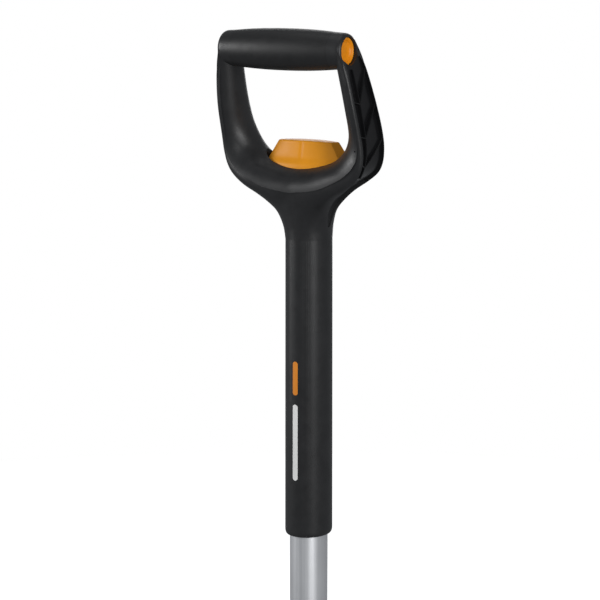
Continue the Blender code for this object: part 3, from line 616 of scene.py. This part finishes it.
def crossbar_grip():
    """Soft barrel-shaped grip with rolled ends."""
    bore = CORE_RADIUS + GAP
    profile = []
    for t in np.linspace(-1, 1, 49):
        profile.append((GRIP_HALF * t, GRIP_RADIUS - (GRIP_RADIUS - GRIP_END_RADIUS) * abs(t) ** 2.2))
    profile += [(GRIP_HALF, bore), (-GRIP_HALF, bore)]
    return make("soft_crossbar_grip", skin([wheel(x, r) for x, r in profile], closed=True), [SOFT])


def end_plug(name, hand):
    """Dished orange plug with a rolled rim and a shallow ring."""
    face = HEAD_END - 1.2 * MM
    steps = [(-9.8, -1.8), (-2.9, -1.8), (-2.9, 0.0), (-0.6, 0.0), (-0.25, -0.12), (-0.05, -0.4), (0.0, -0.8),
             (-0.06, -1.3), (-0.3, -1.7), (-0.9, -2.1), (-1.8, -2.7), (-2.5, -3.6), (-2.8, -4.8),
             (-2.9, -6.5), (-2.9, -9.6)]
    profile = [(face + x * MM, PLUG_RADIUS + r * MM) for x, r in steps]
    return make(name, skin([wheel(hand * x, r) for x, r in profile]), [PLUG])


def button_outline(x, z):
    """Front and back depth of the button at x and height z: a lens that shrinks above its skirt."""
    skirt = min(max((z - BUTTON_BASE - 6 * MM) / (7 * MM), 0), 1)
    shoulder = BUTTON_BASE + BUTTON_RISE
    rise = min(max((z - shoulder) / (BUTTON_CROWN - 2 * MM - shoulder), 0), 1)
    half = BUTTON_HALF - 7.0 * MM * rise
    bulge = math.sqrt(max(1 - (x / half) ** 2, 0))
    edge = 2.2 * MM * (1 - rise)
    skirt = skirt * skirt * (3 - 2 * skirt)
    return edge + (14.8 - 4.2 * skirt) * MM * bulge, edge + (8.3 - 1.5 * skirt) * MM * bulge


def release_button():
    """Lens-shaped button: flared skirt, upright face with a soft finger groove, slanted ends."""
    loops = []
    rounding = 1.6 * MM
    for x in np.linspace(-BUTTON_HALF, BUTTON_HALF, 141):
        low = BUTTON_BASE + button_rise(x)
        arch = BUTTON_CROWN - 1.6 * MM * (x / BUTTON_HALF) ** 2
        slant = BUTTON_BASE + BUTTON_RISE + (BUTTON_HALF - abs(x)) * 1.55
        top = max(min(arch, slant), low + 0.9 * MM)
        front, back = [], []
        for a in np.linspace(0, math.pi / 2, 20):
            z = low + (top - low) * math.sin(a)
            forward, rearward = button_outline(x, z)
            over = min(max(z - top + rounding, 0) / rounding, 1)
            shrink = rounding * (1 - math.sqrt(1 - over * over))
            groove = 0.7 * MM * math.exp(-(x / (1.1 * MM)) ** 2) if z > BUTTON_BASE + 12 * MM else 0
            front.append((x, BUTTON_Y - max(forward - shrink, 0) + groove, z))
            back.append((x, BUTTON_Y + max(rearward - shrink, 0), z))
        loops.append(front + back[::-1])
    bm = skin(loops)
    for hand in (1, -1):
        corner = (hand * (BUTTON_HALF - 2.5 * MM), BUTTON_Y, BUTTON_BASE + BUTTON_RISE)
        cut = bmesh.ops.bisect_plane(bm, geom=[*bm.verts, *bm.edges, *bm.faces], clear_outer=True,
                                     plane_co=corner, plane_no=(hand * 1.55, -0.5, 1))
        rim = [g for g in cut["geom_cut"] if isinstance(g, bmesh.types.BMEdge)]
        bmesh.ops.contextual_create(bm, geom=rim)
    bmesh.ops.recalc_face_normals(bm, faces=bm.faces)
    return make("orange_release_button", bm, [BUTTON])


def spring():
    """Coil spring under the button, drawn at its rest length; the button's stroke closes it on the real
    spade.
    """
    radius, wire, turns, around = 4.7 * MM, 0.55 * MM, 4.5, 40
    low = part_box("button_spring")[0][2] - tip_height + wire
    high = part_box("button_spring")[1][2] - tip_height - wire
    loops = []
    for i in range(int(turns * around) + 1):
        a = 2 * math.pi * i / around
        out = Vector((math.cos(a), math.sin(a), 0))
        centre = radius * out + Vector((0, 0, low + (high - low) * i / (turns * around)))
        loops.append([centre + wire * (out * math.cos(b) + Vector((0, 0, math.sin(b))))
                      for b in np.linspace(0, 2 * math.pi, 12, endpoint=False)])
    return make("coil_spring", skin(loops), [WIRE])


def stripe(name, low, high, half_width, mat):
    """A plain printed bar down the front of the sleeve, a hair proud of it, with rounded ends."""
    rows = []
    cap = [half_width * (1 - math.cos(a)) for a in np.linspace(0, math.pi / 2, 9)]
    for z in [low + c for c in cap] + [high - c for c in reversed(cap)]:
        taper = SLEEVE_TAPER * (z - SLEEVE_LOW) / (SLEEVE_HIGH - SLEEVE_LOW)
        rx, ry = SLEEVE_X - taper, SLEEVE_Y - taper
        to_end = min(z - low, high - z)
        reach = half_width
        if to_end < half_width:
            reach = math.sqrt(max(half_width ** 2 - (half_width - to_end) ** 2, (0.05 * half_width) ** 2))
        edge = math.asin(min(reach / rx, 1))
        outside, inside = [], []
        for a in np.linspace(-edge, edge, 9):
            for grow, row in ((0.06 * MM, outside), (-0.3 * MM, inside)):
                row.append(((rx + grow) * math.sin(a), -(ry + grow) * math.cos(a), z))
        rows.append(outside + inside[::-1])
    return make(name, skin(rows), [mat])


# ---------------------------------------------------------------- blade and socket

def blade_middle(x, z):
    """Y of the blade's middle surface: dished across, swept forward to its tip, with two pressed ribs."""
    across = x / BLADE_HALF
    sweep = 10 * MM * (1 - z / BLADE_LENGTH) ** 1.6
    spread_of_ribs = 26 * MM - 12 * MM * (1 - z / BLADE_LENGTH)
    rib_height = 3.2 * MM * min(max((z - 70 * MM) / (60 * MM), 0), 1)
    pressed = sum(math.exp(-((x - s * spread_of_ribs) / (7 * MM)) ** 2) for s in (-1, 1))
    return 8 * MM - sweep - BLADE_DISH * across ** 2 + rib_height * pressed


def blade_half(z):
    """Half the blade's width at height z, with the rounded corners of the cutting edge."""
    straight = BLADE_TIP_HALF + (BLADE_HALF - BLADE_TIP_HALF) * (z / BLADE_LENGTH)
    return straight - BLADE_CORNER * (1 - math.sqrt(1 - (1 - min(z / BLADE_CORNER, 1)) ** 2)) * 0.9


def blade_sheet(thickness, across, up, keen=True, extra=0.0):
    """The blade as a sheet, ground thin towards its cutting edge if keen, longer at its top by extra."""
    bm = bmesh.new()
    bmesh.ops.create_grid(bm, x_segments=across, y_segments=up, size=1.0)
    for vert in bm.verts:
        u, v = vert.co.x, ((vert.co.y + 1) / 2) ** 1.35
        z = BLADE_LENGTH * v
        x = u * blade_half(z)
        tip = 9 * MM * (1 - v) ** 6 * u * u
        vert.co = (x, blade_middle(x, z), z + tip + (extra if v > 0.999 else 0))
    before = list(bm.verts)
    bmesh.ops.recalc_face_normals(bm, faces=bm.faces)
    grown = bmesh.ops.extrude_face_region(bm, geom=list(bm.faces))["geom"]
    for vert in before:
        thin = min(max((vert.co.z - 1 * MM) / (14 * MM), 0.12), 1.0) if keen else 1.0
        vert.co.y -= thickness / 2 * thin
    for item in grown:
        if isinstance(item, bmesh.types.BMVert):
            item.co.y += thickness / 2
    bmesh.ops.recalc_face_normals(bm, faces=bm.faces)
    return bm


def blade():
    """Pressed blade: one dished sheet with rounded lower corners."""
    return make("pressed_blade", blade_sheet(BLADE_THICKNESS, 120, 90), [BLADE])


def shaft():
    """Oval aluminium tube with eased ends, drilled for the socket's rivets."""
    low, high, wall, ease = SHAFT_BOTTOM, SHAFT_TOP, SHAFT_WALL, 0.4 * MM
    profile = [(0, low + ease), (0, high - ease), (-ease, high), (ease - wall, high), (-wall, high - ease),
               (-wall, low + ease), (ease - wall, low), (-ease, low)]
    tube = skin([oval(SHAFT_X + d, SHAFT_Y + d, z) for d, z in profile], closed=True)
    tube = make("aluminium_shaft", tube, [ALUMINIUM])
    combine(tube, rivet_holes(), "DIFFERENCE")
    return settle(tube)


def rivet_holes():
    """Drills for the two rivets that hold the socket on the shaft."""
    return [rod((-25 * MM, 0, z), (25 * MM, 0, z), RIVET_RADIUS + GAP) for z in RIVET_HEIGHTS]


def rivet(name, z):
    """Rivet with a low dome at each end."""
    shank, rise, spread_of_head = 17.9 * MM, 2.1 * MM, 5 * MM
    profile = [(shank + rise * math.sin(a), spread_of_head * math.cos(a) + 0.05 * MM)
               for a in np.linspace(0, math.pi / 2, 10)]
    middle = [(-shank, RIVET_RADIUS), (shank, RIVET_RADIUS)]
    profile = [(-x, r) for x, r in reversed(profile)] + middle + profile
    loops = [[(x, r * math.cos(a), z + r * math.sin(a))
              for a in np.linspace(0, 2 * math.pi, 48, endpoint=False)] for x, r in profile]
    return make(name, skin(loops), [ZINC])


def socket():
    """Forged socket: round over the shaft, drawn down to a flat tongue welded on the blade's back."""
    stations = [(432, 17.1, 19.6, 0, 2.0), (431.7, 17.4, 19.9, 0, 2.0), (431, 17.6, 20.1, 0, 2.0),
                (345, 17.6, 20.1, 0, 2.0), (322, 17.3, 18.0, 1.5, 2.0), (296, 16.5, 13.5, 5.0, 2.1),
                (262, 15.0, 9.0, 9.0, 2.3), (225, 13.0, 6.5, 9.5, 2.4), (196, 10.0, 5.0, 8.8, 2.4),
                (184, 6.0, 4.2, 8.4, 2.2)]
    rows = stations[:3] + [tuple(row) for row in resample(stations[3:], 60)]
    body = skin([oval(x * MM, y * MM, z * MM, shift=shift * MM, power=power)
                 for z, x, y, shift, power in rows])
    body = make("steel_socket", body, [COATED])
    bore = skin([oval(SHAFT_X + GAP, SHAFT_Y + GAP, z) for z in (SHAFT_BOTTOM - GAP, 450 * MM)])
    slot = blade_sheet(BLADE_THICKNESS + 2 * GAP, 60, 45, keen=False, extra=6 * MM)
    front = bmesh.new()
    bmesh.ops.create_cube(front, size=1.0)
    back = blade_middle(0, 250 * MM)
    bmesh.ops.scale(front, vec=(80 * MM, 40 * MM + back, 193 * MM), verts=front.verts)
    bmesh.ops.translate(front, vec=(0, (back - 40 * MM) / 2, 196.5 * MM), verts=front.verts)
    combine(body, [bore, slot, front] + rivet_holes(), "DIFFERENCE")
    return settle(body)


def ferrule():
    """Black collar that closes the step between the shaft and the socket."""
    low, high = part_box("ferrule")[0][2] - tip_height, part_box("ferrule")[1][2] - tip_height
    step = SOCKET_TOP + GAP
    profile = [(GAP, high - 0.3 * MM), (GAP, step), (3.2 * MM, step), (3.2 * MM, low + 0.3 * MM)]
    crown = [(GAP + 0.3 * MM, high)]
    crown += [(FERRULE_WALL - 1.2 * MM * (1 - math.sin(a)), high - 1.2 * MM * (1 - math.cos(a)))
              for a in np.linspace(0, math.pi / 2, 7)]
    foot = [(FERRULE_WALL, low + 0.6 * MM), (FERRULE_WALL - 0.6 * MM, low)]
    return make("collar", skin([oval(SHAFT_X + d, SHAFT_Y + d, z) for d, z in profile + foot + crown],
                               closed=True), [NYLON])


def tread(name, hand):
    """Foot tread along one shoulder of the blade, with rounded edges and shallow grip grooves across it."""
    low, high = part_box(name)[0][2] - tip_height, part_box(name)[1][2] - tip_height
    start, end = 24 * MM, BLADE_HALF - 3 * MM
    loops = []
    for x in np.linspace(start, end, 181):
        middle = blade_middle(x, BLADE_LENGTH)
        near = max(min((x - start) / (6 * MM), (end - x) / (8 * MM), 1), 0)
        half = (7.5 + 4.5 * math.sqrt(near)) * MM
        grooved = max(math.cos(2 * math.pi * (x - start) / (6 * MM)), 0) ** 3 if near >= 1 else 0
        top = high - 0.7 * MM * grooved
        r = 1.0 * MM
        points = []
        for y, z, first in ((half - r, top - r, 0), (-half + r, top - r, 1), (-half + r, low + r, 2),
                            (half - r, low + r, 3)):
            for a in np.linspace(first, first + 1, 6) * math.pi / 2:
                points.append((hand * x, middle + y + r * math.cos(a), z + r * math.sin(a)))
        loops.append(points)
    return make("foot_" + name, skin(loops), [COATED])


for node, mat in (("stem_tube", ZINC), ("stem_pin_right", ZINC), ("stem_pin_left", ZINC), ("push_rod", ZINC),
                  ("brake_wedge", ZINC), ("lock_head", ACETAL), ("mouth_bush", ACETAL),
                  ("shaft_guide", ACETAL), ("brake_shoe_front", PAD), ("brake_shoe_back", PAD)):
    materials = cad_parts[node].data.materials
    materials.clear()
    materials.append(mat)

coil = spring()
pieces = [(handle_frame(), "handle_frame", "handle", "black_nylon"),
          (crossbar_grip(), "crossbar_grip", "handle", "soft_grip"),
          (end_plug("orange_plug_right", 1), "end_plug_right", "handle", "orange_nylon"),
          (end_plug("orange_plug_left", -1), "end_plug_left", "handle", "orange_nylon"),
          (release_button(), "release_button", "button", "orange_nylon"),
          (coil, "button_spring", "handle", "spring_steel"),
          (blade(), "blade", "tool", "blade_steel"),
          (shaft(), "shaft", "tool", "satin_aluminium"),
          (socket(), "socket", "tool", "blade_steel"),
          (ferrule(), "ferrule", "tool", "black_nylon"),
          (rivet("upper_rivet", RIVET_HEIGHTS[0]), "socket_rivet_upper", "tool", "zinc_plated_steel"),
          (rivet("lower_rivet", RIVET_HEIGHTS[1]), "socket_rivet_lower", "tool", "zinc_plated_steel"),
          (tread("tread_right", 1), "tread_right", "tool", "blade_steel"),
          (tread("tread_left", -1), "tread_left", "tool", "blade_steel")]
for piece, node, body, slot_name in pieces:
    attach(piece, body)
    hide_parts(node)
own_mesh(coil)
for piece in (stripe("white_stripe", 668 * MM, 734 * MM, 2.4 * MM, WHITE),
              stripe("orange_stripe", 742 * MM, 771 * MM, 2.4 * MM, ORANGE)):
    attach(piece, "handle")


# ---------------------------------------------------------------- floor, light and camera

def floor():
    """Plain white studio floor, low enough for the drawn-out shaft, lit but not shining on the spade."""
    bm = bmesh.new()
    bmesh.ops.create_circle(bm, cap_ends=True, segments=96, radius=3.4)
    bmesh.ops.translate(bm, vec=(0, 0, tip_height - DRAW_OUT - 0.5 * MM), verts=bm.verts)
    mesh = bpy.data.meshes.new("studio_floor")
    bm.to_mesh(mesh)
    bm.free()
    mat, _, _, shader, _ = finish_of("floor_paint", (0.80, 0.80, 0.80), 0.9, specular=0.1)
    shader.inputs["Emission Color"].default_value = (1, 1, 1, 1)
    shader.inputs["Emission Strength"].default_value = 0.85
    mesh.materials.append(mat)
    obj = bpy.data.objects.new("studio_floor", mesh)
    bpy.context.collection.objects.link(obj)
    obj.visible_diffuse = False
    obj.visible_glossy = False


def softbox(name, place, aim, width, height, power, colour=(1, 1, 1)):
    """A rectangular softbox turned towards a point."""
    light = bpy.data.lights.new(name, "AREA")
    light.shape = "RECTANGLE"
    light.size, light.size_y = width, height
    light.energy = power
    light.color = colour
    obj = bpy.data.objects.new(name, light)
    obj.location = place
    obj.rotation_euler = (Vector(aim) - Vector(place)).to_track_quat("-Z", "Y").to_euler()
    bpy.context.collection.objects.link(obj)


def studio():
    """White surroundings as seen, dim ones as light, and softboxes round the spade."""
    world = bpy.data.worlds.new("studio")
    bpy.context.scene.world = world
    world.use_nodes = True
    nodes, links = world.node_tree.nodes, world.node_tree.links
    dim = nodes["Background"]
    dim.inputs["Color"].default_value = (0.93, 0.96, 1.0, 1)
    dim.inputs["Strength"].default_value = 0.22
    seen = nodes.new("ShaderNodeBackground")
    seen.inputs["Color"].default_value = (1, 1, 1, 1)
    path = nodes.new("ShaderNodeLightPath")
    mix = nodes.new("ShaderNodeMixShader")
    links.new(path.outputs["Is Camera Ray"], mix.inputs["Fac"])
    links.new(dim.outputs["Background"], mix.inputs[1])
    links.new(seen.outputs["Background"], mix.inputs[2])
    links.new(mix.outputs["Shader"], nodes["World Output"].inputs["Surface"])
    softbox("left_key", (-1.9, -1.35, 0.25), (0, 0, -0.2), 0.6, 1.1, 30)
    softbox("front", (0.9, -2.1, 0.5), (0, 0, -0.1), 0.5, 0.5, 7)
    softbox("right_key", (2.1, -0.85, 0.1), (0, 0, -0.2), 0.6, 1.5, 30)
    softbox("top", (-0.2, -0.1, 1.7), (0, 0, 0), 1.4, 1.0, 4)
    softbox("back", (-0.9, 1.9, 0.3), (0, 0, -0.3), 1.0, 1.8, 12)


def camera():
    """Camera in front and to the right of the handle, a little above it."""
    azimuth, distance, height = math.radians(32.0), 1.6, 1.108
    down, aside = math.radians(10.2), math.radians(0.27)
    lens = bpy.data.cameras.new("camera")
    lens.sensor_width = 36.0
    lens.lens = 115.8
    obj = bpy.data.objects.new("camera", lens)
    obj.location = AXIS + Vector((distance * math.sin(azimuth), -distance * math.cos(azimuth), height))
    obj.rotation_euler = (math.radians(90) - down, 0, azimuth + aside)
    bpy.context.collection.objects.link(obj)
    bpy.context.scene.camera = obj


floor()
studio()
camera()
bpy.context.scene.view_settings.view_transform = "Standard"
